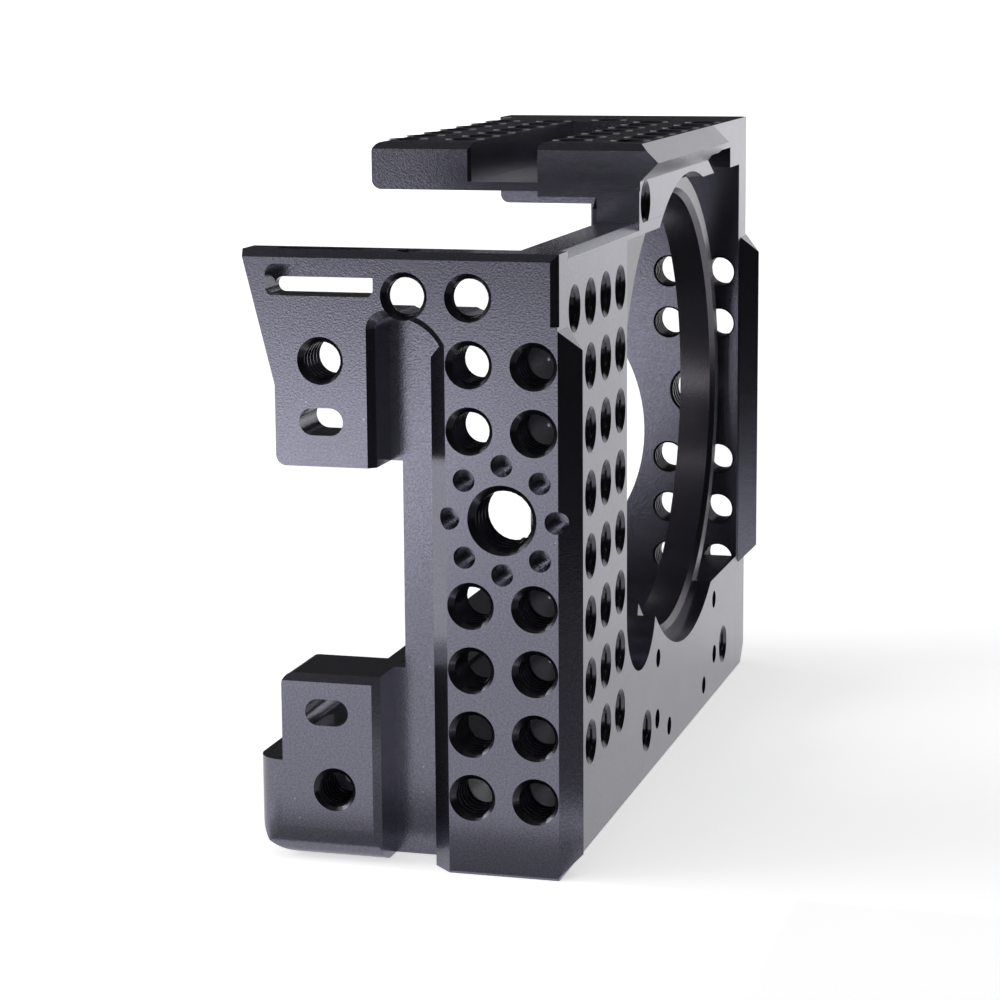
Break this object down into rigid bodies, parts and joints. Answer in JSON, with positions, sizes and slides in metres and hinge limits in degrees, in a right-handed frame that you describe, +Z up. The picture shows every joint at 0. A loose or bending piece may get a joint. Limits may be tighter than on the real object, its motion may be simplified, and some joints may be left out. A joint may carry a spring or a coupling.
{
  "type": "camera cage",
  "caption": "Milled aluminium camera cage with accessory rails, threaded hole grids, a round lens opening and a captive camera screw.",
  "frame": {"origin": "centre of the near rail's large hole, on the rail's outer face", "axes": "+X along the cage away from the near rail, +Y from the front to the back, +Z up"},
  "size_m": [0.1334, 0.0473, 0.0977],
  "materials": {
    "anodised": "bead-blasted, black anodised",
    "anodised_warm": "bead-blasted, black anodised",
    "screw_steel": "turned stainless steel",
    "clip_steel": "plain steel",
    "washer": "black nylon",
    "fastener": "black oxide",
    "pad": "fine grained rubber"
  },
  "bodies": {
    "cage": {"near_side": "anodised", "front_plate": "anodised", "lens_plate": "anodised_warm", "top_rail": "anodised", "top_plate": "anodised", "far_side": "anodised", "base_plate": "anodised", "base_pads": "pad", "top_pads": "pad", "near_screws": "fastener", "rail_screws": "fastener", "bar_screws": "fastener", "far_screws": "fastener", "base_front_screws": "fastener", "base_near_screws": "fastener", "lens_plate_screws": "fastener", "dowel_pins": "clip_steel"},
    "carriage": {"screw_clip": "clip_steel", "screw_washer": "washer"},
    "screw": {"camera_screw": "screw_steel"}
  },
  "joints": [
    {"name": "screw_lift", "type": "slide", "parent": "cage", "child": "carriage", "axis": [0, 0, 1], "range_m": [0, 0.004]},
    {"name": "screw_turn", "type": "hinge", "parent": "carriage", "child": "screw", "pos_m": [0.0844, 0.016, -0.045], "axis": [0, 0, 1], "continuous": true}
  ]
}
